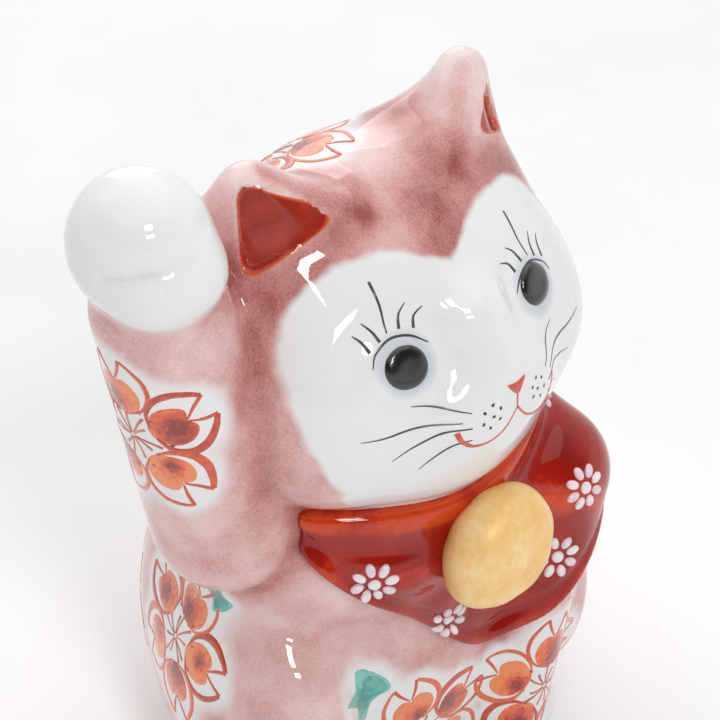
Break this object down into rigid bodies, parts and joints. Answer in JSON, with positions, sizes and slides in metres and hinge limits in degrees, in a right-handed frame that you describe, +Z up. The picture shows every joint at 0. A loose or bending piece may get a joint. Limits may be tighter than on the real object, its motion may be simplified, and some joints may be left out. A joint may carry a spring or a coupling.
{
  "type": "beckoning cat figurine",
  "caption": "Seated porcelain cat with its right paw raised, a red bib and a round bell at the chest, standing on a flat underside.",
  "frame": {"origin": "centre of the flat underside, on the surface that the cat sits on", "axes": "+Z up, the cat faces -Y, its own left side is +X and its raised right paw is at -X"},
  "size_m": [0.1057, 0.0945, 0.158],
  "materials": {
    "rose_glaze": "glossy glaze over dusty rose airbrushed colour",
    "white_glaze": "glossy clear glaze over white porcelain",
    "bare_porcelain": "unglazed, fine matt",
    "red_glaze": "glossy deep red, thinner and more orange on the folds",
    "gold_lustre": "satin pale gold",
    "black_enamel": "glossy black enamel",
    "red_enamel": "glossy red enamel",
    "white_enamel": "raised glossy white enamel dots"
  },
  "bodies": {
    "root": {"torso_shell": "rose_glaze", "base_plate": "bare_porcelain", "head_shell": "white_glaze", "right_ear": "rose_glaze", "left_ear": "rose_glaze", "raised_arm": "rose_glaze", "lowered_arm": "rose_glaze", "right_hind_foot": "white_glaze", "left_hind_foot": "white_glaze", "tail": "rose_glaze", "bib": "red_glaze", "bell": "gold_lustre", "right_eye": "black_enamel", "left_eye": "black_enamel", "nose": "red_enamel", "bib_flowers": "white_enamel"}
  },
  "joints": []
}
